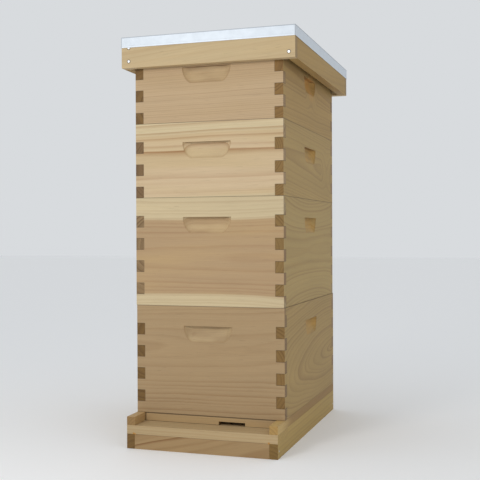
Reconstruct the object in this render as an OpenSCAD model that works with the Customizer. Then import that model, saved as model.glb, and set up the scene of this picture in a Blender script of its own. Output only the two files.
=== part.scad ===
// Eight-frame Langstroth hive: bottom board with entrance reducer, two deep boxes, two medium boxes,
// removable frames, inner cover and telescoping outer cover with a metal cap.
// Frame of reference: +Z up, the entrance faces -Y, origin under the centre of the whole hive.

/* [Boxes] */
// Outside width of a box, across the entrance side
box_w = 349.25; // [340:0.25:358]
// Outside length of a box, front to rear
box_l = 504.825; // [503:0.025:510]
// Height of a deep box
deep_h = 244.475; // [240:0.025:250]
// Height of a medium box
medium_h = 168.275; // [165:0.025:172]
// Thickness of the boards
board_t = 19.05; // [18:0.05:20]
// Height of one finger of the box joint
finger_h = 25.4; // [24:0.1:27]
// Depth of the ledge that the frame lugs hang on, below the top of the box
ledge_h = 15.875; // [14:0.125:18]
// How far the ledge is cut into the end boards
ledge_w = 9.525; // [8:0.025:10]
// Sideways offset of the upper three boxes against the lowest one
stack_slip = -1.2; // [-3:0.1:3]

/* [Hand grips] */
// Length of the straight top edge of a grip
grip_w = 115; // [100:1:130]
// Height of a grip on the face of the board
grip_h = 37; // [25:1:45]
// Depth of a grip under its top edge
grip_d = 12; // [6:0.5:13]
// Straight run of the cutter between its two ends
grip_run = 69; // [40:1:74]
// Distance from the top of the box to the top edge of the grip
grip_drop = 44.5; // [40:0.5:60]
// How far each grip is off the middle of its board, to the right as seen from outside
grip_slip = -3; // [-10:0.5:10]

/* [Frames] */
// Frames in one box
frame_count = 8; // [4:1:8]
// Distance between the middles of two frames
frame_pitch = 36.5; // [36:0.1:37]
// Height of a deep frame
deep_frame_h = 232; // [225:1:233]
// Height of a medium frame
medium_frame_h = 159; // [150:1:160]
// Length of a top bar with its lugs
top_bar_l = 482.6; // [478:0.1:484]
// Which frame of the top box can be lifted alone, counted from the left
free_frame = 3; // [0:1:3]

/* [Bottom board] */
// How far the landing board stands out ahead of the boxes
landing_l = 57.15; // [40:0.05:80]
// Height of the rails and cleats under the floor
rail_h = 33; // [25:1:45]
// Thickness of the floor boards
floor_t = 19; // [16:0.5:22]
// Height of the strips between the floor and the lowest box
strip_h = 19; // [16:0.5:25]
// Depth of the front floor board
landing_board_l = 83.5; // [70:0.5:120]
// Width of the bee entrance in the reducer
entrance_w = 61; // [20:1:100]
// Height of the bee entrance in the reducer
entrance_h = 8; // [6:0.5:10]
// Distance of the entrance from the middle of the hive, to the right
entrance_x = 53; // [-90:1:90]

/* [Inner cover] */
// Thickness of the inner cover's panel
inner_panel_t = 6.35; // [4:0.05:10]
// Height of the strips around the inner cover's panel
inner_rim_h = 9.525; // [6:0.025:13]
// Length of the oval hole in the inner cover
oval_l = 88; // [60:1:120]
// Width of the oval hole in the inner cover
oval_w = 32; // [25:1:45]

/* [Outer cover] */
// Width of the wooden part of the cover
cover_w = 406.4; // [400:0.1:420]
// Length of the wooden part of the cover
cover_l = 562; // [550:1:580]
// Thickness of the cover's panel
cover_panel_t = 11; // [6:0.5:19]
// Height of the cover's rim boards
cover_rim_h = 58.5; // [45:0.5:80]
// Overhang of the cover's rim ahead of the boxes
cover_front = 21; // [19.5:0.5:35]
// Sideways offset of the stack against the cover
cover_slip = -4; // [-6:0.5:6]
// Height of the bent edge of the metal cap
lip_h = 24; // [15:1:40]

/* [Hidden] */
wood = "#c4a676";
shade_wood = "#a98a5c";
pale_wood = "#d6bd8c";
wax = "#e0b23c";
zinc = "#dfe6ee";
steel = "#c9cdd2";

eps = 0.5;                    // how far a cutter runs past the face that it cuts
in_w = box_w - 2 * board_t;   // inside width of a box
in_l = box_l - 2 * board_t;   // inside length of a box
base_h = rail_h + floor_t + strip_h;
floor_z = rail_h + floor_t;   // top of the floor boards

sheet_t = 0.5;                // metal of the cap
cap_gap = 0.3;                // air between the metal and the wood
cap_out = cap_gap + 2 * sheet_t;

// The row's origin is under the middle of the whole hive. In the stack's own frame the box fronts are
// at y = 0 and the middle of the upper boxes is at x = 0.
front_y = -landing_l;
rear_y = cover_l - cover_front + cap_out;
origin_y = (front_y + rear_y) / 2;

upper_deep_z = base_h + deep_h;
lower_medium_z = upper_deep_z + deep_h;
upper_medium_z = lower_medium_z + medium_h;
inner_z = upper_medium_z + medium_h;
cover_z = inner_z + inner_panel_t + inner_rim_h;  // underside of the cover's panel
rim_z = cover_z - cover_rim_h;
top_z = cover_z + cover_panel_t;

// Each box: name, height, height of its underside, sideways place, height of its frames
BOXES = [
    ["lower_deep", deep_h, base_h, cover_slip - stack_slip, deep_frame_h],
    ["upper_deep", deep_h, upper_deep_z, cover_slip, deep_frame_h],
    ["lower_medium", medium_h, lower_medium_z, cover_slip, medium_frame_h],
    ["upper_medium", medium_h, upper_medium_z, cover_slip, medium_frame_h]
];
BOX_PARTS = ["front_board", "rear_board", "left_board", "right_board",
             "top_bars", "end_bars", "bottom_bars", "foundations"];

// ---- Placing ----

// Children drawn around the middle of a box, its front at y = 0 and its underside at z = 0
module at_box(b) translate([b[3], -origin_y, b[2]]) children();

// Children drawn around the middle of the bottom board, which is in line with the lowest box
module at_base() translate([BOXES[0][3], -origin_y, 0]) children();

// Children drawn around the middle of the inner cover
module at_inner() translate([cover_slip, -origin_y, inner_z]) children();

// Children drawn around the middle of the outer cover, its wooden front at y = 0
module at_cover() translate([0, -origin_y - cover_front, 0]) children();

// A block centred across the hive
module block(w, l, h, y = 0, z = 0) translate([-w / 2, y, z]) cube([w, l, h]);

// ---- Hand grips ----

grip_end = (grip_w - grip_run) / 2;                              // half chord of the cutter at the top
cutter_r = (grip_end * grip_end + grip_d * grip_d) / (2 * grip_d);
scoop_r = (grip_h * grip_h + grip_d * grip_d) / (2 * grip_d);    // curve of the cutter's edge
cutter_y = cutter_r - grip_d;                                    // cutter axis, outside the face

// Half of the cutter's section, its axis at x = 0 and its flat top at y = 0
module cutter_section() {
    intersection() {
        translate([cutter_r - scoop_r, 0]) circle(r = scoop_r, $fn = 180);
        translate([0, -grip_h - 2]) square([cutter_r, grip_h + 2]);
    }
}

// The round cutter sunk into a face at y = 0 and run sideways, its top edge at z = 0
module grip_cut() {
    translate([0, -cutter_y, 0]) {
        for (side = [-1, 1]) translate([side * grip_run / 2, 0, 0])
            rotate_extrude($fn = 96) cutter_section();
        translate([-grip_run / 2, 0, 0]) rotate([90, 0, 90])
            linear_extrude(grip_run) cutter_section();
    }
}

// ---- Boxes ----

// Heights, from the underside up, of the gaps in an end board that the side boards' fingers fill
function side_fingers(h) = [
    for (top = [ledge_h + finger_h : 2 * finger_h : h - 1]) h - min(top + finger_h, h)];

// Heights of the gaps in a side board that the end boards' fingers fill, below the top one
function end_fingers(h) = [
    for (top = [ledge_h + 2 * finger_h : 2 * finger_h : h - 1]) h - min(top + finger_h, h)];

// End board with its outer face at y = 0
module end_board(h) {
    difference() {
        block(box_w, board_t, h);
        block(box_w + 2 * eps, board_t, ledge_h + eps, board_t - ledge_w, h - ledge_h);
        for (z = side_fingers(h), side = [0, 1]) mirror([side, 0, 0])
            translate([in_w / 2, -eps, z == 0 ? -eps : z])
                cube([board_t + eps, board_t + 2 * eps, finger_h + (z == 0 ? eps : 0)]);
        translate([grip_slip, 0, h - grip_drop]) grip_cut();
    }
}

// Side board of the right side, with its outer face at x = box_w / 2 and its grip moved along Y
module side_board(h, slip) {
    difference() {
        translate([in_w / 2, 0, 0]) cube([board_t, box_l, h]);
        for (rear = [0, 1]) translate([0, rear * box_l, 0]) mirror([0, rear, 0]) {
            translate([in_w / 2 - eps, -eps, h - ledge_h])
                cube([board_t + 2 * eps, board_t - ledge_w + eps, ledge_h + eps]);
            translate([in_w / 2 - eps, -eps, h - ledge_h - finger_h])
                cube([board_t + 2 * eps, board_t + eps, finger_h]);
            for (z = end_fingers(h))
                translate([in_w / 2 - eps, -eps, z == 0 ? -eps : z])
                    cube([board_t + 2 * eps, board_t + eps, finger_h + (z == 0 ? eps : 0)]);
        }
        translate([box_w / 2, box_l / 2 + slip, h - grip_drop]) rotate([0, 0, 90]) grip_cut();
    }
}

module front_board(b) color(wood) at_box(b) end_board(b[1]);
module rear_board(b) color(wood) at_box(b)
    translate([0, box_l, 0]) rotate([0, 0, 180]) end_board(b[1]);
module right_board(b) color(shade_wood) at_box(b) side_board(b[1], grip_slip);
module left_board(b) color(shade_wood) at_box(b) mirror([1, 0, 0]) side_board(b[1], -grip_slip);

// ---- Frames ----

bar_w = 27;          // width of a top bar
bar_t = 19;          // thickness of a top bar
lug_w = 22;          // width of the lugs at its ends
lug_t = 9.5;         // thickness of the lugs
end_bar_w = 35;      // width of an end bar at its top
end_bar_low_w = 28;  // width of an end bar below its shoulders
end_bar_t = 9.5;     // thickness of an end bar
shoulder_h = 78;     // height of the wide part of an end bar
bottom_bar_w = 19;   // width of a bottom bar
bottom_bar_t = 9.5;  // thickness of a bottom bar
sheet_w = 2;         // thickness of the foundation sheet
frame_l = 447.7;     // length over the end bars
hung_l = frame_l - 2 * end_bar_t;  // length between the end bars

// Sideways place of frame i in a box
function frame_x(i) = (i - (frame_count - 1) / 2) * frame_pitch;

// Frames of a box that move together: all of them, except the free one of the top box
function held(b) = [for (i = [0 : frame_count - 1]) if (b[0] != "upper_medium" || i != free_frame) i];

// Children placed at the given frames, their lugs resting on the ledges. z = 0 is the top bar's top.
module at_frames(b, which) {
    at_box(b) for (i = which)
        translate([frame_x(i), box_l / 2, b[1] - ledge_h + lug_t]) children();
}

module top_bar() {
    translate([-bar_w / 2, -hung_l / 2, -bar_t]) cube([bar_w, hung_l, bar_t]);
    translate([-lug_w / 2, -top_bar_l / 2, -lug_t]) cube([lug_w, top_bar_l, lug_t]);
}

// End bars with a slot for the lug at the top and one for the bottom bar, of a frame of height h
module end_bar_pair(h) {
    for (end = [0, 1]) mirror([0, end, 0]) translate([0, hung_l / 2, 0]) difference() {
        union() {
            block(end_bar_w, end_bar_t, shoulder_h, 0, -shoulder_h);
            block(end_bar_low_w, end_bar_t, h, 0, -h);
        }
        block(lug_w, end_bar_t + 2 * eps, lug_t + eps, -eps, -lug_t);
        block(bottom_bar_w, end_bar_t + 2 * eps, bottom_bar_t + eps, -eps, -h - eps);
    }
}

module bottom_bar(h)
    translate([-bottom_bar_w / 2, -frame_l / 2, -h]) cube([bottom_bar_w, frame_l, bottom_bar_t]);

module foundation(h) {
    sheet_h = h - bar_t - bottom_bar_t;
    translate([-sheet_w / 2, -hung_l / 2, -bar_t - sheet_h]) cube([sheet_w, hung_l, sheet_h]);
}

module top_bars(b) color(pale_wood) at_frames(b, held(b)) top_bar();
module end_bars(b) color(pale_wood) at_frames(b, held(b)) end_bar_pair(b[4]);
module bottom_bars(b) color(pale_wood) at_frames(b, held(b)) bottom_bar(b[4]);
module foundations(b) color(wax) at_frames(b, held(b)) foundation(b[4]);

module free_top_bar() color(pale_wood) at_frames(BOXES[3], [free_frame]) top_bar();
module free_end_bars() color(pale_wood) at_frames(BOXES[3], [free_frame]) end_bar_pair(medium_frame_h);
module free_bottom_bar() color(pale_wood) at_frames(BOXES[3], [free_frame]) bottom_bar(medium_frame_h);
module free_foundation() color(wax) at_frames(BOXES[3], [free_frame]) foundation(medium_frame_h);

// ---- Bottom board ----

base_l = box_l + landing_l;
floor_cut = 9.5;                                          // width of the rebate in the side rails
rear_floor_l = base_l - landing_board_l;                  // floor behind the landing board
rear_floor_n = 3;                                         // boards in that floor
floor_seam = 0.3;                                         // open seam between two floor boards
floor_nail_z = rail_h / 2;
floor_nail_y = [board_t / 2, base_l - board_t / 2];

// Right side rail: the landing board crosses its front end, the other floor boards lie in its rebate
module side_rail() {
    difference() {
        translate([in_w / 2, front_y, 0]) cube([board_t, base_l, floor_z]);
        translate([in_w / 2 - eps, front_y - eps, rail_h])
            cube([board_t + 2 * eps, landing_board_l + eps, floor_t + eps]);
        translate([in_w / 2 - eps, front_y - eps, rail_h])
            cube([board_t - floor_cut + eps, base_l + 2 * eps, floor_t + eps]);
    }
}

module right_rail() color(shade_wood) at_base() side_rail();
module left_rail() color(shade_wood) at_base() mirror([1, 0, 0]) side_rail();
module front_cleat() color(wood) at_base() block(in_w, board_t, rail_h, front_y);
module rear_cleat() color(wood) at_base() block(in_w, board_t, rail_h, box_l - board_t);
module landing_board() color(wood) at_base() block(box_w, landing_board_l, floor_t, front_y, rail_h);
module floor_boards() color(wood) at_base() {
    pitch = rear_floor_l / rear_floor_n;
    for (i = [0 : rear_floor_n - 1])
        translate([0, front_y + landing_board_l + i * pitch + floor_seam, rail_h])
            block(box_w - 2 * floor_cut, pitch - floor_seam, floor_t);
}
module right_strip() color(shade_wood) at_base()
    translate([in_w / 2, front_y, floor_z]) cube([board_t, base_l, strip_h]);
module left_strip() color(wood) at_base()
    translate([-box_w / 2, front_y, floor_z]) cube([board_t, base_l, strip_h]);
module rear_strip() color(wood) at_base() block(in_w, board_t, strip_h, box_l - board_t, floor_z);

// A nail driven along +Y into a face at y = 0
module nail(head_d, head_t, shank_d, length, proud) {
    translate([0, -proud, 0]) rotate([-90, 0, 0]) {
        cylinder(d = head_d, h = head_t, $fn = 32);
        cylinder(d = shank_d, h = length, $fn = 32);
    }
}

// Nails through the side rails into the ends of the cleats
module floor_nails() color(steel) at_base() {
    for (side = [0, 1], y = floor_nail_y) mirror([side, 0, 0])
        translate([box_w / 2, front_y + y, floor_nail_z]) rotate([0, 0, 90])
            nail(4, 0.8, 2, 38, 0.2);
}

// Strip that closes the front gap, with a notch for the bees in its lower edge
reducer_gap = 0.5;    // air over the strip, so that it slides
reducer_left = 2.2;   // air at its left end
reducer_right = 1;    // air at its right end
module entrance_reducer() color(wood) at_base() {
    difference() {
        translate([-in_w / 2 + reducer_left, 0, floor_z])
            cube([in_w - reducer_left - reducer_right, board_t, strip_h - reducer_gap]);
        translate([entrance_x - entrance_w / 2, -eps, floor_z - eps])
            cube([entrance_w, board_t + 2 * eps, entrance_h + eps]);
    }
}

// ---- Inner cover ----

vent_w = 25.4;   // notch in the front strip
vent_d = 6.35;

module inner_panel() color(pale_wood) at_inner() difference() {
    block(box_w, box_l, inner_panel_t);
    translate([0, box_l / 2, -eps]) {
        block(oval_w, oval_l - oval_w, inner_panel_t + 2 * eps, -(oval_l - oval_w) / 2);
        for (end = [-1, 1]) translate([0, end * (oval_l - oval_w) / 2, 0])
            cylinder(d = oval_w, h = inner_panel_t + 2 * eps, $fn = 64);
    }
}
module inner_rear_rim() color(pale_wood) at_inner()
    block(box_w, board_t, inner_rim_h, box_l - board_t, inner_panel_t);
module inner_front_rim() color(pale_wood) at_inner() difference() {
    block(box_w, board_t, inner_rim_h, 0, inner_panel_t);
    block(vent_w, board_t + 2 * eps, vent_d + eps, -eps, inner_panel_t + inner_rim_h - vent_d);
}
module inner_right_rim() color(pale_wood) at_inner()
    translate([in_w / 2, board_t, inner_panel_t]) cube([board_t, in_l, inner_rim_h]);
module inner_left_rim() color(pale_wood) at_inner()
    translate([-box_w / 2, board_t, inner_panel_t]) cube([board_t, in_l, inner_rim_h]);

// ---- Outer cover ----

cover_nail_d = 5.6;
// Nails of a rim: side, distance from the cover's side face, height. One upper nail is half under the
// lower edge of the metal and the other is covered by it.
COVER_NAILS = [
    [-1, 17.5, rim_z + 15], [-1, 17.5, top_z - lip_h],
    [1, 14, rim_z + 12.5], [1, 14, top_z - lip_h + 5]
];

module cover_panel() color(pale_wood) at_cover() block(cover_w, cover_l, cover_panel_t, 0, cover_z);
module cover_front_rim() color(pale_wood) at_cover() block(cover_w, board_t, cover_rim_h, 0, rim_z);
module cover_rear_rim() color(pale_wood) at_cover()
    block(cover_w, board_t, cover_rim_h, cover_l - board_t, rim_z);
module cover_right_rim() color(shade_wood) at_cover()
    translate([cover_w / 2 - board_t, board_t, rim_z])
        cube([board_t, cover_l - 2 * board_t, cover_rim_h]);
module cover_left_rim() color(shade_wood) at_cover()
    translate([-cover_w / 2, board_t, rim_z])
        cube([board_t, cover_l - 2 * board_t, cover_rim_h]);

// Nails through the front and rear rims into the ends of the side rims
module cover_nails() color(steel) at_cover() {
    for (n = COVER_NAILS, rear = [0, 1])
        translate([n[0] * (cover_w / 2 - n[1]), rear * cover_l, n[2]]) rotate([0, 0, rear * 180])
            nail(cover_nail_d, 1.2, 2.8, 45, 0.25);
}

// Bent sheet over the panel, with a folded hem along its lower edge
module metal_cap() color(zinc) at_cover() {
    hem_h = 4;
    difference() {
        union() {
            cap_shell(cap_gap + sheet_t, top_z + sheet_t - lip_h, top_z + sheet_t);
            cap_shell(cap_out, top_z + sheet_t - lip_h, top_z + sheet_t - lip_h + hem_h);
        }
        cap_shell(cap_gap, top_z - lip_h - eps, top_z);
    }
}
// Block that stands out by the given margin around the cover's wood
module cap_shell(margin, z0, z1)
    block(cover_w + 2 * margin, cover_l + 2 * margin, z1 - z0, -margin, z0);

// ---- Nodes ----

left_rail();
right_rail();
front_cleat();
rear_cleat();
landing_board();
floor_boards();
left_strip();
right_strip();
rear_strip();
floor_nails();
entrance_reducer();
for (b = BOXES) {
    front_board(b);
    rear_board(b);
    left_board(b);
    right_board(b);
    top_bars(b);
    end_bars(b);
    bottom_bars(b);
    foundations(b);
}
free_top_bar();
free_end_bars();
free_bottom_bar();
free_foundation();
inner_panel();
inner_front_rim();
inner_rear_rim();
inner_left_rim();
inner_right_rim();
cover_panel();
cover_front_rim();
cover_rear_rim();
cover_left_rim();
cover_right_rim();
cover_nails();
metal_cap();
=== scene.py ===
import math

import bmesh
import bpy
from mathutils import Matrix, Vector


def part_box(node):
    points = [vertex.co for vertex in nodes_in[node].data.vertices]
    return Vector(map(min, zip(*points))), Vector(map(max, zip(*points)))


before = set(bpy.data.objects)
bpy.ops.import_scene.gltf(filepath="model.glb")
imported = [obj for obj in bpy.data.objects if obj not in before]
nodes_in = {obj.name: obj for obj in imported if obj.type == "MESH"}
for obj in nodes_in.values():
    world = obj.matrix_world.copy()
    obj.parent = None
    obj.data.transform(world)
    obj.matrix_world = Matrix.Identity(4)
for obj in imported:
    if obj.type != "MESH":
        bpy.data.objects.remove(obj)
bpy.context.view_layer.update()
scene = bpy.context.scene
BOXES = ("lower_deep", "upper_deep", "lower_medium", "upper_medium")
FINGER = 0.0254     # height of a finger of the box joints
LEDGE = 0.015875    # from the top of a box to the first finger
THICK = 0.01905     # thickness of a box board
HEM = 0.004         # height of the metal cap's folded edge


def srgb(r, g, b):
    """An 8-bit colour as the linear RGBA that a shader takes."""
    f = lambda c: c / 12.92 if c <= 0.04045 else ((c + 0.055) / 1.055) ** 2.4
    return tuple(f(c / 255) for c in (r, g, b)) + (1.0,)


# Timber colours
CREAM, STRAW = srgb(208, 190, 152), srgb(204, 180, 140)
PINK, TAN, HONEY = srgb(192, 165, 129), srgb(174, 147, 109), srgb(184, 154, 106)
LATE, LATE_RED, BROWN = srgb(164, 128, 84), srgb(164, 122, 78), srgb(130, 94, 54)
# Olive tones of the side boards: partly their own tone, partly painted shade, darker than the fronts as the
# sides face away from the light
OLIVE_AND_SHADE, OLIVE_LATE = srgb(170, 139, 84), srgb(126, 91, 44)
SIDE_END = (0.86, 0.72)     # green and blue left in the end grain of the side boards
BRUISE, GLUE = srgb(96, 84, 66), srgb(186, 128, 48)

# Hand grips: colour of the newly cut wood, partly its own paler tone and partly a painted highlight, and its
# smallest and largest share, for fronts and for sides
FRESH_CUT_AND_SHEEN = (srgb(222, 198, 152), (0.05, 0.30)), (srgb(200, 152, 74), (0.20, 0.50))
GRIP_HALF = (0.070, 0.075)                          # from a board's middle to where its grip has surely ended
GRIP_BED = (0.0004, 0.0016), (0.0122, 0.0128)       # depths between which the wood is freshly cut
GRIP_RIM = (0.0002, 0.0010), (0.0016, 0.0042)       # depths between which the grip's edge is darker
RIM_PAINT, RIM_SHARE = srgb(146, 110, 66), 0.20
LIP_SHADE, LIP_SHADE_SHARE = srgb(104, 70, 42), 0.6       # painted shade on the shelf under which fingers go

# Painted shade in the cracks between boards: half width, share of it that is fully dark, and share of the
# light lost
SEAM_HALF, SEAM_CORE, CRACK_SHADE = 0.0011, 0.4, 0.5
LEVEL_CRACK, UPRIGHT_CRACK = (0.0003, 0.0010), (0.0003, 0.0012)     # where the painted shade in the cracks round a finger fades out
CRACK_END = 0.0004                                                  # how far it runs on past the corner

# Noises of a board: scale along the grain, scale across it, and a shift that keeps them apart
SWAY, RIPPLE = (2.6, 9.0, 0.0), (9.0, 60.0, 3.1)
FIBRE, CLOUD, FLECK = (14.0, 1500.0, 5.3), (2.2, 22.0, 8.7), (26.0, 900.0, 12.1)
PORES, SHEEN = (500.0, 1500.0, 15.0), (14.0, 40.0, 21.0)
SWAY_SIZE, RIPPLE_SIZE = 4, 0.35    # how far each moves the rings, in times the board's wobble
SEED_ACROSS = 1.7                   # sets the noise across a board apart from the noise along it
PACE, PACE_RINGS = 55.0, 2.4        # how soon the ring spacing changes, and by how many rings
YEAR_GRADE = (0.8, 0.2)             # how much the years differ, and how dark the palest is
YEAR = ((0.0, 0.08), (0.35, 0.10), (0.72, 0.62), (0.86, 1.0), (1.0, 0.12))   # darkness through one ring
SAP_EDGE, SAP_SHARE, SAP_LINES = 0.0015, 0.86, 0.45     # half width of its edge, cover, ring lines seen in it
DARKER_RAGGED = 0.05                   # metres by which the edge of a board's darker end is ragged

# Tone and surface of a board: (change with the noise or line, value without it)
FIBRE_TONE, CLOUD_TONE, FLECK_TONE = (0.38, 0.81), (0.22, 0.89), (-0.24, 1.0)
PORE_TONE, PORE_MEAN, END_LINES = 0.5, 0.22, (-0.3, 1.0)
FLECK_EDGE, PATCH_EDGE, SHEEN_EDGE = (0.70, 0.78), (0.4, 0.68), (0.35, 0.65)    # noise where each sets in
FIBRE_ROUGH, LINE_ROUGH, SPECULAR = 0.16, (-0.10, 0.56), 0.32
FIBRE_RISE, LINE_RISE, WOOD_BUMP = 0.6, 0.5, (0.0004, 0.35)

# How squarely a surface has to look along an axis to be taken for facing it: (not yet, fully)
END_TURN, LEVEL_TURN, BESIDE_TURN, METAL_TURN = (0.72, 0.86), (0.9, 0.97), (0.75, 0.95), (0.5, 0.8)

# Nail bruises: radius, softness, colour and strength
BRUISE_LOOK = (0.0036, 0.0016, BRUISE, 0.8)

# Edges: how far they are eased, from which angle in degrees, and how near two corners are to be one
EASE_WOOD, EASE_FINE, EASE_ANGLE, WELD = 0.0006, 0.0003, 40, 1e-5


def span(node):
    """A node's box as (lowest corner, highest corner) vectors."""
    lo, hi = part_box(node)
    return Vector(lo), Vector(hi)


class Net:
    """Builds one material's node tree with short calls."""

    def __init__(self, name):
        self.mat = bpy.data.materials.new(name)
        self.mat.use_nodes = True
        self.tree = self.mat.node_tree
        self.tree.nodes.clear()
        self.out = self.add("ShaderNodeOutputMaterial")
        self.bsdf = self.add("ShaderNodeBsdfPrincipled")
        self.join(self.bsdf.outputs[0], self.out.inputs[0])
        self.coord = self.add("ShaderNodeTexCoord")

    def add(self, kind, **props):
        n = self.tree.nodes.new(kind)
        for k, v in props.items():
            setattr(n, k, v)
        return n

    def join(self, a, b):
        self.tree.links.new(a, b)

    def put(self, socket, value):
        """Joins a socket or sets a constant."""
        if isinstance(value, bpy.types.NodeSocket):
            self.join(value, socket)
        else:
            socket.default_value = value

    def math(self, op, a, b=0.0, c=0.0):
        n = self.add("ShaderNodeMath", operation=op)
        for s, v in zip(n.inputs, (a, b, c)):
            self.put(s, v)
        return n.outputs[0]

    def plus(self, a, b):
        return self.math("ADD", a, b)

    def less(self, a, b):
        return self.math("SUBTRACT", a, b)

    def mul(self, a, b):
        return self.math("MULTIPLY", a, b)

    def mad(self, a, b, c):
        """a times b, plus c."""
        return self.math("MULTIPLY_ADD", a, b, c)

    def size(self, a):
        return self.math("ABSOLUTE", a)

    def most(self, a, b):
        return self.math("MAXIMUM", a, b)

    def parts(self, vector):
        n = self.add("ShaderNodeSeparateXYZ")
        self.join(vector, n.inputs[0])
        return list(n.outputs)

    def vec(self, x, y, z):
        n = self.add("ShaderNodeCombineXYZ")
        for s, v in zip(n.inputs, (x, y, z)):
            self.put(s, v)
        return n.outputs[0]

    def noise(self, vector, detail=2.0, rough=0.5, scale=1.0):
        n = self.add("ShaderNodeTexNoise", noise_dimensions="3D")
        self.join(vector, n.inputs["Vector"])
        n.inputs["Scale"].default_value = scale
        n.inputs["Detail"].default_value = detail
        n.inputs["Roughness"].default_value = rough
        return n.outputs["Fac"]

    def step(self, value, lo, hi, to_lo=0.0, to_hi=1.0):
        n = self.add("ShaderNodeMapRange", interpolation_type="SMOOTHSTEP")
        for s, v in zip(n.inputs, (value, lo, hi, to_lo, to_hi)):
            self.put(s, v)
        return n.outputs[0]

    def band(self, value, rise, fall):
        """1 between two soft edges, each given as (from, to)."""
        return self.mul(self.step(value, *rise), self.step(value, *fall, 1.0, 0.0))

    def facing(self, axis):
        """How squarely a surface looks along an axis, from 0 to 1."""
        return self.size(self.parts(self.coord.outputs["Normal"])[axis])

    def near(self, point, radius, soft):
        """1 inside a ball round the point, falling to 0 over soft."""
        n = self.add("ShaderNodeVectorMath", operation="DISTANCE")
        self.join(self.coord.outputs["Object"], n.inputs[0])
        n.inputs[1].default_value = point
        return self.step(n.outputs["Value"], radius, radius + soft, 1.0, 0.0)

    def mix(self, fac, a, b, kind="MIX"):
        n = self.add("ShaderNodeMix", data_type="RGBA", blend_type=kind)
        self.put(n.inputs[0], fac)
        self.put(n.inputs[6], a)
        self.put(n.inputs[7], b)
        return n.outputs[2]

    def ramp(self, fac, stops):
        n = self.add("ShaderNodeValToRGB")
        self.join(fac, n.inputs[0])
        e = n.color_ramp.elements
        while len(e) < len(stops):
            e.new(0.5)
        for el, (p, v) in zip(e, stops):
            el.position, el.color = p, (v, v, v, 1.0)
        return n.outputs[0]

    def bump(self, height, distance, strength):
        n = self.add("ShaderNodeBump")
        n.inputs["Strength"].default_value = strength
        n.inputs["Distance"].default_value = distance
        self.join(height, n.inputs["Height"])
        self.join(n.outputs[0], self.bsdf.inputs["Normal"])

    def finish(self, colour, roughness):
        self.join(colour, self.bsdf.inputs["Base Color"])
        self.join(roughness, self.bsdf.inputs["Roughness"])
        return self.mat


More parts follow.
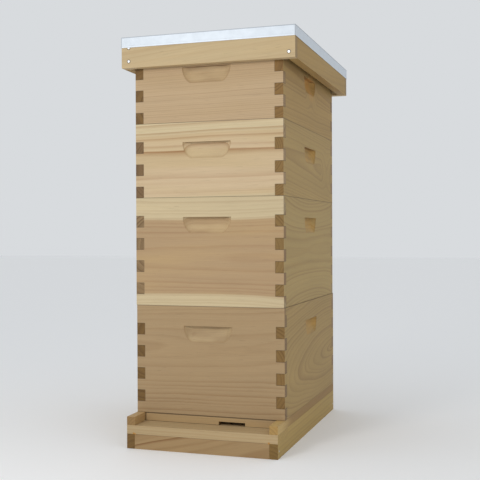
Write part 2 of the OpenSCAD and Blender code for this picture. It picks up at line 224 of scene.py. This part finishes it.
class Timber(Net):
    """Sawn wood with growth rings round a pith line, so that faces, ends and hollows all agree."""

    def __init__(self, name, along, centre, pith, tilt, bow, seed):
        super().__init__(name)
        self.along, self.seed = along, seed
        self.cross = [i for i in range(3) if i != along]
        self.xyz = self.parts(self.coord.outputs["Object"])
        self.l = self.less(self.xyz[along], centre[along])
        self.u, self.v = (
            self.less(self.less(self.xyz[c], centre[c] + p), self.mul(self.l, t))
            for c, p, t in zip(self.cross, pith, tilt)
        )
        if bow:
            self.v = self.mul(self.v, self.mad(self.mul(self.l, self.l), bow, 1.0))

    def grain(self, stretch, *look):
        """Noise drawn out along the board."""
        along, across, shift = stretch
        p = [None] * 3
        p[self.along] = self.mad(self.l, along, self.seed + shift)
        p[self.cross[0]] = self.mad(self.u, across, self.seed * SEED_ACROSS)
        p[self.cross[1]] = self.mad(self.v, across, shift)
        return self.noise(self.vec(*p), *look)

    def rings(self, ring, wobble, knots):
        """Distance from the pith, and how dark the wood is there for its place in its year."""
        r = self.math("SQRT", self.plus(self.mul(self.u, self.u), self.mul(self.v, self.v)))
        for point, radius, push in knots:
            r = self.mad(self.near(point, 0.0, radius), push, r)
        r = self.plus(r, self.mul(self.less(self.grain(SWAY, 1.5), 0.5), wobble * SWAY_SIZE))
        r = self.plus(r, self.mul(self.less(self.grain(RIPPLE, 2.0), 0.5), wobble * RIPPLE_SIZE))
        pace = self.noise(self.vec(self.mad(r, PACE, self.seed), 0.0, self.seed), 1.0)
        count = self.plus(self.math("DIVIDE", r, ring), self.mul(pace, PACE_RINGS))
        year = self.add("ShaderNodeTexWhiteNoise", noise_dimensions="1D")
        self.join(self.plus(self.math("FLOOR", count), self.seed), year.inputs["W"])
        grade = self.mad(year.outputs["Value"], *YEAR_GRADE)
        return r, self.mul(self.ramp(self.math("FRACT", count), YEAR), grade)

    def grip(self, colour, axis, face, inward, fresh_and_sheen, share):
        """A hand grip: newly cut wood, partly its own paler tone and partly a painted highlight, a darker line
        round its edge and painted shade under its top edge.
        """
        deep = self.mul(self.less(self.xyz[axis], face), inward)
        middle = self.step(self.size(self.l), *GRIP_HALF, 1.0, 0.0)
        cut = self.mul(self.band(deep, *GRIP_BED), middle)
        # paler newly cut wood in the grip: partly its own tone, partly a painted highlight
        sheen = self.step(self.grain(SHEEN, 1.0), *SHEEN_EDGE, *share)
        colour = self.mix(self.mul(cut, sheen), colour, fresh_and_sheen)
        rim = self.mul(self.band(deep, *GRIP_RIM), middle)
        colour = self.mix(self.mul(rim, RIM_SHARE), colour, RIM_PAINT)
        # painted shade on the level faces in the grip, the shelf under which fingers go
        lip_shade = self.mul(self.step(self.facing(2), *LEVEL_TURN), cut)
        return self.mix(self.mul(lip_shade, LIP_SHADE_SHARE), colour, LIP_SHADE)

    def seams(self, places):
        """Painted shade in the cracks across an axis, on the faces beside it."""
        crack_shade = 0.0
        for axis, place, half, depth in places:
            gap = self.size(self.less(self.xyz[axis], place))
            beside = self.step(self.facing(axis), *BESIDE_TURN, 1.0, 0.0)
            crack_shade = self.most(crack_shade, self.mul(self.step(gap, half * SEAM_CORE, half, depth, 0.0), beside))
        return crack_shade

    def finger_crack_shade(self, crack_shade, inner, first, odd):
        """Adds painted shade in the cracks between this board's fingers and those of the next board."""
        out = self.less(self.size(self.l), inner)
        down = self.math("DIVIDE", self.less(first, self.xyz[2]), FINGER)
        miss = self.mul(self.size(self.less(down, self.math("ROUND", down))), FINGER)
        level = self.mul(self.step(miss, *LEVEL_CRACK, CRACK_SHADE, 0.0), self.step(out, -CRACK_END, 0.0))
        crack_shade = self.most(crack_shade, self.mul(level, self.math("GREATER_THAN", down, 0.5)))
        gone = self.math("MODULO", self.math("FLOOR", self.most(down, 0.0)), 2.0)
        if odd:
            gone = self.less(1.0, gone)
        upright = self.step(self.size(out), *UPRIGHT_CRACK, CRACK_SHADE, 0.0)
        return self.most(crack_shade, self.mul(upright, gone))


def wood(name, along, centre, seed, pith, light, late, ring, contrast, tilt=(0.0, 0.0), bow=0.0, wobble=0.004,
         knots=(), fade=None, warm=None, warmth=0.5, sap=None, sap_r=None, age=None, scoop=None, seams=(),
         fingers=None, end=0.56, end_tint=(0.90, 0.76), spots=()):
    """One board's timber. Lengths are in metres.
    Rings: pith is how far the pith lies from the board's centre on its two cross axes, tilt its slope on them,
    bow bends the rings along the board, ring is their spacing, knots are (point, radius, push) and fade is
    (from, to, share left) for the lines on the far side of the pith.
    Colour: warm comes and goes in patches, sap is the sapwood beyond sap_r from the pith, a darker tone
    along the board is given as (from, to, colour, strength), end and end_tint darken the end grain and spots
    are (point, radius, soft, colour, strength).
    Shape: scoop is (axis, face, direction into the board, colour of the newly cut wood, shares of it), that
    colour being partly the wood's own paler tone and partly a painted highlight; the seam shade is given as
    (axis, place, half width, depth) of painted shade in the cracks between boards, and fingers is (middle to
    inner corner, height of the first edge, whether this board's own fingers are the odd ones), adding painted
    shade in the cracks round the fingers."""
    n = Timber(name, along, centre, pith, tilt, bow, seed)
    r, lines = n.rings(ring, wobble, knots)
    lines = n.mul(lines, contrast)
    if fade:
        lines = n.mul(lines, n.step(n.v, *fade, 1.0))
    fibre = n.grain(FIBRE, 3.0, 0.65)
    cloud = n.grain(CLOUD, 2.0)
    fleck = n.step(n.grain(FLECK, 1.0), *FLECK_EDGE)

    colour = n.mix(lines, light, late)
    if warm:
        colour = n.mix(n.step(cloud, *PATCH_EDGE, 0.0, warmth), colour, warm)
    if sap:
        edge = n.step(r, sap_r - SAP_EDGE, sap_r + SAP_EDGE)
        colour = n.mix(n.mul(edge, SAP_SHARE), colour, n.mix(n.mul(lines, SAP_LINES), sap, late))
    if age:
        start, stop, paint, strength = age
        ragged = n.mad(cloud, DARKER_RAGGED, n.xyz[along])
        colour = n.mix(n.step(ragged, start, stop, 0.0, strength), colour, paint)
    if scoop:
        colour = n.grip(colour, *scoop)

    tone = n.mad(fibre, *FIBRE_TONE)
    tone = n.mul(tone, n.mad(cloud, *CLOUD_TONE))
    tone = n.mul(tone, n.mad(fleck, *FLECK_TONE))
    endgrain = n.step(n.facing(along), *END_TURN)
    dark = n.mul(n.mad(n.grain(PORES, 2.0), PORE_TONE, end - PORE_MEAN), n.mad(lines, *END_LINES))
    tone = n.mul(tone, n.plus(n.mul(endgrain, n.less(dark, 1.0)), 1.0))
    crack_shade = n.seams(seams)
    if fingers:
        # painted shade in the cracks round the fingers
        crack_shade = n.finger_crack_shade(crack_shade, *fingers)
    tone = n.mul(tone, n.less(1.0, crack_shade))
    green, blue = (n.mul(tone, n.mad(endgrain, t - 1.0, 1.0)) for t in end_tint)
    colour = n.mix(1.0, colour, n.vec(tone, green, blue), "MULTIPLY")
    for point, radius, soft, paint, strength in spots:
        colour = n.mix(n.mul(n.near(point, radius, soft), strength), colour, paint)
    n.bsdf.inputs["Specular IOR Level"].default_value = SPECULAR
    n.bump(n.plus(n.mul(fibre, FIBRE_RISE), n.mul(lines, LINE_RISE)), *WOOD_BUMP)
    return n.finish(colour, n.mad(fibre, FIBRE_ROUGH, n.mad(lines, *LINE_ROUGH)))


def dress(node, mat):
    for s in nodes_in[node].material_slots:
        s.material = mat


def board(node, along, **look):
    """Gives a CAD node its own piece of timber."""
    lo, hi = span(node)
    look.setdefault("seed", sum(map(ord, node)) % 89 + 0.37)
    if node.startswith(BOXES) and node.endswith("_board"):
        # painted shade in the cracks where the boxes meet
        look["seams"] = ((2, lo.z, SEAM_HALF, CRACK_SHADE), (2, hi.z, SEAM_HALF, CRACK_SHADE))
        look["fingers"] = ((hi[along] - lo[along]) / 2 - THICK, hi.z - LEDGE, along == 1)
        axis = 1 - along
        low_side = node.endswith(("front_board", "left_board"))
        place = (axis, lo[axis], 1.0) if low_side else (axis, hi[axis], -1.0)
        look["scoop"] = place + FRESH_CUT_AND_SHEEN[along]
    dress(node, wood("m_" + node, along, (lo + hi) / 2, **look))


# Fronts of the boxes, each sawn from a different part of the tree
board("upper_medium_front_board", 0, pith=(0.02, -0.30), light=PINK, late=BROWN, ring=0.0042, contrast=0.34,
      warm=TAN, tilt=(0.0, 0.012), wobble=0.003)
board("lower_medium_front_board", 0, pith=(0.05, -0.012), light=STRAW, late=srgb(150, 104, 56), ring=0.0088,
      contrast=1.2, fade=(-0.050, 0.0, 0.40), warm=srgb(200, 176, 146), tilt=(0.0, 0.012), wobble=0.0028,
      sap=CREAM, sap_r=0.091, seed=29.37)
board("upper_deep_front_board", 0, pith=(0.060, -0.014), light=srgb(181, 152, 115), late=srgb(146, 104, 66),
      ring=0.0075, contrast=0.62, warm=HONEY, warmth=0.45, tilt=(0.0, 0.004), wobble=0.0045, bow=-1.7,
      sap=CREAM, sap_r=0.107)
board("lower_deep_front_board", 0, pith=(0.075, 0.03), light=srgb(173, 146, 109), late=BROWN, ring=0.0075,
      contrast=0.62, warm=srgb(168, 141, 104), tilt=(0.006, 0.035), wobble=0.007)

# Right sides, their tones partly their own and partly painted shade, darker than the fronts as they face away
# from the light
corner = span("upper_medium_right_board")[1]
knot = (corner.x, 0.02, corner.z - 0.062)
board("upper_medium_right_board", 1, pith=(-0.035, 0.05), light=OLIVE_AND_SHADE, late=OLIVE_LATE, ring=0.009,
      contrast=0.6, tilt=(0.05, 0.03), wobble=0.005, end_tint=SIDE_END, end=0.58,
      knots=((knot, 0.075, 0.035),), spots=((knot, 0.010, 0.035, srgb(196, 142, 70), 0.55),))
corner = span("lower_medium_right_board")[1]
board("lower_medium_right_board", 1, pith=(-0.05, 0.0), light=srgb(171, 143, 89), late=OLIVE_LATE,
      ring=0.0056, contrast=0.48, tilt=(0.02, -0.05), wobble=0.0022, end_tint=SIDE_END, end=0.58,
      knots=(((corner.x, 0.19, corner.z - 0.088), 0.075, 0.016),))
board("upper_deep_right_board", 1, pith=(-0.045, 0.0), light=srgb(173, 147, 94), late=srgb(138, 103, 50),
      ring=0.0074, contrast=0.66, bow=-3.2, wobble=0.0030, end_tint=SIDE_END, end=0.58)
board("lower_deep_right_board", 1, pith=(-0.030, -0.028), light=srgb(168, 140, 87), late=OLIVE_LATE,
      ring=0.0078, contrast=0.72, tilt=(0.16, 0.04), wobble=0.006, end_tint=SIDE_END, end=0.58)

# Backs and left sides
for i, b in enumerate(BOXES):
    board(b + "_rear_board", 0, pith=(-0.05 - 0.012 * i, 0.03 - 0.02 * i), light=(TAN, STRAW, PINK, TAN)[i],
          late=LATE, ring=0.009, contrast=0.5, warm=PINK, tilt=(0.01, 0.02 - 0.012 * i), wobble=0.005,
          sap=CREAM, sap_r=0.115)
    board(b + "_left_board", 1, pith=(0.05, 0.05 - 0.03 * i), light=(OLIVE_AND_SHADE, STRAW, TAN, OLIVE_AND_SHADE)[i],
          late=OLIVE_LATE, ring=0.010, contrast=0.6, tilt=(0.05 - 0.02 * i, 0.03), wobble=0.007,
          end_tint=SIDE_END, end=0.45)


def islands(node):
    """Centre, lowest corner and highest corner of each separate solid in a node."""
    bm = bmesh.new()
    bm.from_mesh(nodes_in[node].data)
    bmesh.ops.remove_doubles(bm, verts=bm.verts, dist=1e-6)
    seen, found = set(), []
    for start in bm.verts:
        if start.index in seen:
            continue
        todo, group = [start], []
        seen.add(start.index)
        while todo:
            w = todo.pop()
            group.append(w.co.copy())
            for e in w.link_edges:
                o = e.other_vert(w)
                if o.index not in seen:
                    seen.add(o.index)
                    todo.append(o)
        lo = Vector([min(p[k] for p in group) for k in range(3)])
        hi = Vector([max(p[k] for p in group) for k in range(3)])
        found.append(((lo + hi) / 2, lo, hi))
    bm.free()
    return found


# Covers: the outer one's rims are bruised in a ring round each driven nail, at the face it was driven into
bruises = [((c.x, lo.y if c.y < 0 else hi.y, c.z), *BRUISE_LOOK) for c, lo, hi in islands("cover_nails")]
for part in ("front", "rear"):
    own = [spot for spot in bruises if (spot[0][1] < 0) == (part == "front")]
    board(f"cover_{part}_rim", 0, pith=(0.06, -0.09), light=srgb(196, 173, 133), late=LATE, ring=0.009,
          contrast=0.36, warm=HONEY, warmth=0.3, tilt=(0.0, 0.09), wobble=0.006, spots=own)
for part in ("left", "right"):
    board(f"cover_{part}_rim", 1, pith=(-0.05, 0.06), light=OLIVE_AND_SHADE, late=OLIVE_LATE, ring=0.009, contrast=0.42,
          tilt=(0.0, 0.07), wobble=0.006)
for part, light in (("cover_panel", STRAW), ("inner_panel", CREAM)):
    board(part, 1, pith=(0.0, -0.14), light=light, late=LATE, ring=0.008, contrast=0.4, wobble=0.005)
for part, along in (("front", 0), ("rear", 0), ("left", 1), ("right", 1)):
    board(f"inner_{part}_rim", along, pith=(0.03, -0.08), light=STRAW, late=LATE, ring=0.006, contrast=0.4)

# Bottom board, with a little glue squeezed out under the ends of the landing board. The glue's spots are
# (point, radius, softness, colour, strength).
sill = span("landing_board")[0]
rail_x = span("right_rail")[0].x
glue = [((sill.x + 0.0165, sill.y, sill.z + 0.0010), 0.0016, 0.0014, GLUE, 0.9),
        ((sill.x + 0.0200, sill.y, sill.z + 0.0004), 0.0010, 0.0014, GLUE, 0.8),
        ((rail_x - 0.0010, sill.y, sill.z + 0.0006), 0.0014, 0.0016, GLUE, 0.85)]
board("landing_board", 0, pith=(0.05, -0.16), light=srgb(185, 161, 121), late=LATE, ring=0.007, contrast=0.5,
      wobble=0.004, spots=glue, end=0.84, end_tint=(0.92, 0.55))
board("floor_boards", 0, pith=(0.0, -0.12), light=TAN, late=LATE, ring=0.009, contrast=0.45, wobble=0.005)
# the cleat gets painted shade in the gap under the landing board
board("front_cleat", 0, pith=(0.03, -0.055), light=srgb(168, 139, 98), late=srgb(118, 79, 38), ring=0.016,
      contrast=0.95, tilt=(0.0, 0.24), wobble=0.007, spots=glue, seams=((2, sill.z, 0.0009, 0.35),))
board("rear_cleat", 0, pith=(-0.03, -0.055), light=TAN, late=BROWN, ring=0.012, contrast=0.5, tilt=(0.0, 0.1))
board("left_rail", 1, pith=(0.02, -0.06), light=OLIVE_AND_SHADE, late=OLIVE_LATE, ring=0.008, contrast=0.5, end=0.46,
      end_tint=SIDE_END)
board("right_rail", 1, pith=(-0.02, -0.07), light=srgb(174, 146, 85), late=OLIVE_LATE, ring=0.009,
      contrast=0.5, wobble=0.005, end=0.52, end_tint=SIDE_END)
board("left_strip", 1, pith=(0.03, -0.03), light=HONEY, late=LATE_RED, ring=0.006, contrast=0.5, end=0.62)
strip_y = span("right_strip")[0].y
board("right_strip", 1, pith=(-0.03, -0.03), light=srgb(192, 162, 104), late=BROWN, ring=0.008, contrast=0.5,
      wobble=0.006, end=0.80, age=(strip_y + 0.05, strip_y + 0.16, srgb(136, 102, 56), 0.75))
board("rear_strip", 0, pith=(-0.03, -0.04), light=TAN, late=LATE, ring=0.007, contrast=0.45)
lo, hi = span("entrance_reducer")
# painted shade in the cracks above and below the reducer
board("entrance_reducer", 0, pith=(0.04, -0.05), light=TAN, late=LATE, ring=0.007, contrast=0.5, warm=HONEY,
      warmth=0.6, wobble=0.006, seams=((2, hi.z, 0.0017, 0.75), (2, lo.z, 0.0015, 0.6)))


def waxed(name):
    """Embossed foundation: a shallow six-sided cell pattern in wax."""
    cell_pitch, cell_edge = 0.0047, (-1.3, 0.6)
    blotch_scale, blotch_edge, blotch_share = 18.0, (0.35, 0.7), 0.5
    roughness, rise, strength = (0.2, 0.32), 0.0006, 0.6
    n = Net(name)
    _, y, z = n.parts(n.coord.outputs["Object"])
    k = 2 * math.pi / cell_pitch
    waves = None
    for turn in (0.0, 60.0, 120.0):
        c, s = math.cos(math.radians(turn)) * k, math.sin(math.radians(turn)) * k
        w = n.math("COSINE", n.plus(n.mul(y, c), n.mul(z, s)))
        waves = w if waves is None else n.plus(waves, w)
    cell = n.step(waves, *cell_edge)
    blotch = n.noise(n.coord.outputs["Object"], 3.0, 0.6, blotch_scale)
    base = n.mix(cell, srgb(232, 196, 96), srgb(204, 158, 58))
    base = n.mix(n.step(blotch, *blotch_edge, 0.0, blotch_share), base, srgb(240, 214, 140))
    n.bump(cell, rise, strength)
    return n.finish(base, n.mad(blotch, *roughness))


# Frames
wax = waxed("m_foundation")
plain = dict(light=CREAM, late=LATE, ring=0.005, contrast=0.4, wobble=0.003)
for group in BOXES:
    board(f"{group}_top_bars", 1, pith=(0.3, -0.20), **plain)
    board(f"{group}_bottom_bars", 1, pith=(0.25, -0.15), **plain)
    board(f"{group}_end_bars", 2, pith=(0.22, 0.12), **plain)
    dress(f"{group}_foundations", wax)
for part, along in (("free_top_bar", 1), ("free_bottom_bar", 1), ("free_end_bars", 2)):
    board(part, along, pith=(0.2, -0.12), **plain)
dress("free_foundation", wax)


def sheet_metal(name):
    """Dull bright sheet with rolling lines, faint handling marks, a paler hem and painted shade along its
    folds.
    """
    rolled = (6.0, 6.0, 900.0)                  # scale of the rolling lines on each axis
    mark_scale, mark_edge = 60.0, (0.30, 0.75)
    hem_soft, hem_share = 0.0002, 0.30
    brim_from, brim_to = 0.0024, 0.0014         # below the top, where the painted shade along the upper folded edge begins
    lap_in, lap_width = 0.0010, (0.0008, 0.0014)    # where the painted shade of the folded corner lies in from the side, and its half width
    fold_shade_share, metallic, roughness = 0.55, 0.30, (0.16, 0.44)
    n = Net(name)
    x, y, z = n.parts(n.coord.outputs["Object"])
    lo, hi = span("metal_cap")
    roll = n.noise(n.vec(*(n.mul(a, k) for a, k in zip((x, y, z), rolled))), 2.0)
    marks = n.noise(n.coord.outputs["Object"], 5.0, 0.7, mark_scale)
    hem = n.step(z, lo.z + HEM - hem_soft, lo.z + HEM + hem_soft, 1.0, 0.0)
    base = n.mix(n.step(marks, *mark_edge), srgb(211, 218, 225), srgb(207, 214, 221))
    base = n.mix(n.mul(hem, hem_share), base, srgb(226, 232, 240))
    upright = n.step(n.facing(2), *METAL_TURN, 1.0, 0.0)
    # painted shade along the upper folded edge and the folded corner
    brim_shade = n.mul(n.step(z, hi.z - brim_from, hi.z - brim_to), upright)
    lap = n.size(n.less(n.size(x), hi.x - lap_in))
    fold_shade = n.mul(n.step(lap, *lap_width, 1.0, 0.0), n.step(n.facing(1), *METAL_TURN))
    base = n.mix(n.mul(n.most(brim_shade, fold_shade), fold_shade_share), base, srgb(112, 116, 122))
    n.bsdf.inputs["Metallic"].default_value = metallic
    n.bump(n.plus(n.mul(roll, 0.5), n.mul(marks, 0.5)), 0.0003, 0.2)
    return n.finish(base, n.mad(marks, *roughness))


def bright_steel(name, tint):
    """Nail heads: steel with fine marks."""
    n = Net(name)
    marks = n.noise(n.coord.outputs["Object"], 3.0, 0.6, 700.0)
    n.bsdf.inputs["Metallic"].default_value = 0.6
    n.bump(marks, 0.0002, 0.2)
    return n.finish(n.mix(marks, tint, srgb(150, 154, 160)), n.mad(marks, 0.25, 0.2))


dress("metal_cap", sheet_metal("m_metal_cap"))
dress("cover_nails", bright_steel("m_cover_nails", srgb(250, 251, 253)))
dress("floor_nails", bright_steel("m_floor_nails", srgb(176, 188, 206)))

# Every edge is slightly eased, and those of metal and wax by less
for name, ob in nodes_in.items():
    weld = ob.modifiers.new("Weld", "WELD")
    weld.merge_threshold = WELD
    ease = ob.modifiers.new("Ease", "BEVEL")
    fine = name == "metal_cap" or "foundation" in name or "nails" in name
    ease.width = EASE_FINE if fine else EASE_WOOD
    ease.segments = 2
    ease.limit_method = "ANGLE"
    ease.angle_limit = math.radians(EASE_ANGLE)
    ease.harden_normals = True

# Floor and surround
bpy.ops.mesh.primitive_plane_add(size=30, location=(0, 0, 0))
floor = bpy.context.object
floor.name = "floor"
paper = Net("m_floor")
paper.bsdf.inputs["Base Color"].default_value = (0.96, 0.96, 0.96, 1)
paper.bsdf.inputs["Roughness"].default_value = 0.9
floor.data.materials.append(paper.mat)

scene.world = bpy.data.worlds.new("studio")
scene.world.use_nodes = True
sky = scene.world.node_tree.nodes["Background"]
sky.inputs["Color"].default_value = (0.94, 0.97, 1.0, 1)
sky.inputs["Strength"].default_value = 0.73


def lamp(name, at, aim, size, watts, colour):
    data = bpy.data.lights.new(name, "AREA")
    data.shape, data.size, data.energy, data.color = "SQUARE", size, watts, colour
    ob = bpy.data.objects.new(name, data)
    scene.collection.objects.link(ob)
    ob.location = at
    ob.rotation_euler = (Vector(aim) - Vector(at)).to_track_quat("-Z", "Y").to_euler()


lamp("key", (-0.42, -1.58, 1.06), (0, -0.2, 0.80), 0.38, 6.0, (1.0, 0.99, 0.98))
lamp("fill", (0.80, -1.10, 0.80), (0.15, -0.2, 0.55), 0.4, 0.7, (1.0, 0.96, 0.90))

# Camera: its place, its turn to the left, tilt up and roll in degrees, and its lens and sensor in millimetres
CAMERA_AT, CAMERA_TURN, LENS, SENSOR = (0.6660, -2.0745, 0.4773), (17.995, -0.4046, -0.232), 65.606, 36
cam_data = bpy.data.cameras.new("camera")
cam = bpy.data.objects.new("camera", cam_data)
scene.collection.objects.link(cam)
yaw, pitch, roll = map(math.radians, CAMERA_TURN)
fwd = Vector((-math.sin(yaw) * math.cos(pitch), math.cos(yaw) * math.cos(pitch), math.sin(pitch)))
right = Vector((math.cos(yaw), math.sin(yaw), 0))
up = right.cross(fwd)
right, up = right * math.cos(roll) + up * math.sin(roll), up * math.cos(roll) - right * math.sin(roll)
cam.matrix_world = Matrix.Translation(CAMERA_AT) @ Matrix((right, up, -fwd)).transposed().to_4x4()
cam_data.sensor_width = SENSOR
cam_data.lens = LENS
scene.camera = cam
scene.view_settings.view_transform = "Standard"
